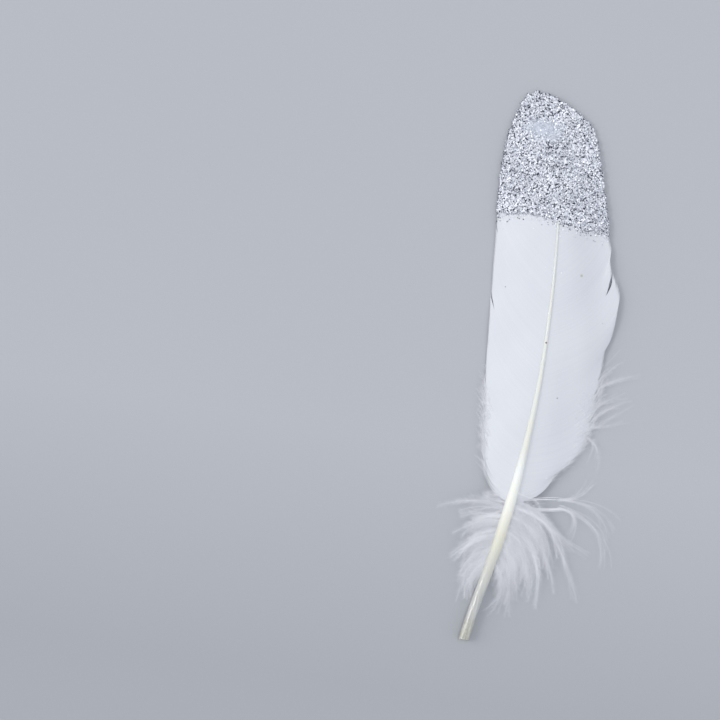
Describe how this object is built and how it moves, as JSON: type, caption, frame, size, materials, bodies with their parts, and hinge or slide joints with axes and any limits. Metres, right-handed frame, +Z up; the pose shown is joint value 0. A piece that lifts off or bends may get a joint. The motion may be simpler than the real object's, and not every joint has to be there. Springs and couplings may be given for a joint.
{
  "type": "feather",
  "caption": "Single white wing feather with a curved shaft, two arched vanes, loose down at its foot and a silver-glittered tip, lying on its underside.",
  "frame": {"origin": "middle of the feather's footprint, on the surface that it lies on", "axes": "+Y along the feather from quill to tip, +X towards the wide vane, +Z up"},
  "size_m": [0.0536, 0.1672, 0.0065],
  "materials": {
    "barbs": "matte",
    "quill": "satin",
    "glitter": "polished"
  },
  "bodies": {
    "root": {"feather": "barbs", "glitter_coat": "glitter"}
  },
  "joints": []
}
